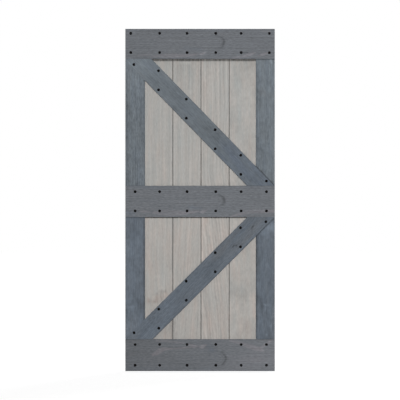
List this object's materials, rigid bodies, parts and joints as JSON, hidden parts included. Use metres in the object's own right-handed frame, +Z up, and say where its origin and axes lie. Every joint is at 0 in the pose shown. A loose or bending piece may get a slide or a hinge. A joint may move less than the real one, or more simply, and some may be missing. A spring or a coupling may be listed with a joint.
{
  "type": "barn door",
  "caption": "Sliding barn door leaf: upright tongue-and-groove boards with rails, cut-in stiles and K-shaped diagonal braces fixed flat on the front.",
  "frame": {"origin": "middle of the leaf's top edge, halfway through its thickness", "axes": "+Z up, +X to the right as seen from the framed front, -Y out of the framed front"},
  "size_m": [0.932, 0.035, 2.134],
  "materials": {
    "panel_stain": "pale greige wash on brushed pine, matt",
    "rail_stain": "dark neutral grey stain on brushed pine, matt",
    "frame_stain": "dark blue-grey stain on brushed pine, matt",
    "screw_black": "black coated screw heads, satin"
  },
  "bodies": {
    "root": {"left_edge_board": "panel_stain", "panel_board_1": "panel_stain", "panel_board_2": "panel_stain", "panel_board_3": "panel_stain", "panel_board_4": "panel_stain", "right_edge_board": "panel_stain", "top_rail": "rail_stain", "middle_rail": "rail_stain", "bottom_rail": "rail_stain", "upper_left_stile": "frame_stain", "upper_right_stile": "frame_stain", "lower_left_stile": "frame_stain", "lower_right_stile": "frame_stain", "upper_brace": "frame_stain", "lower_brace": "frame_stain"}
  },
  "joints": []
}
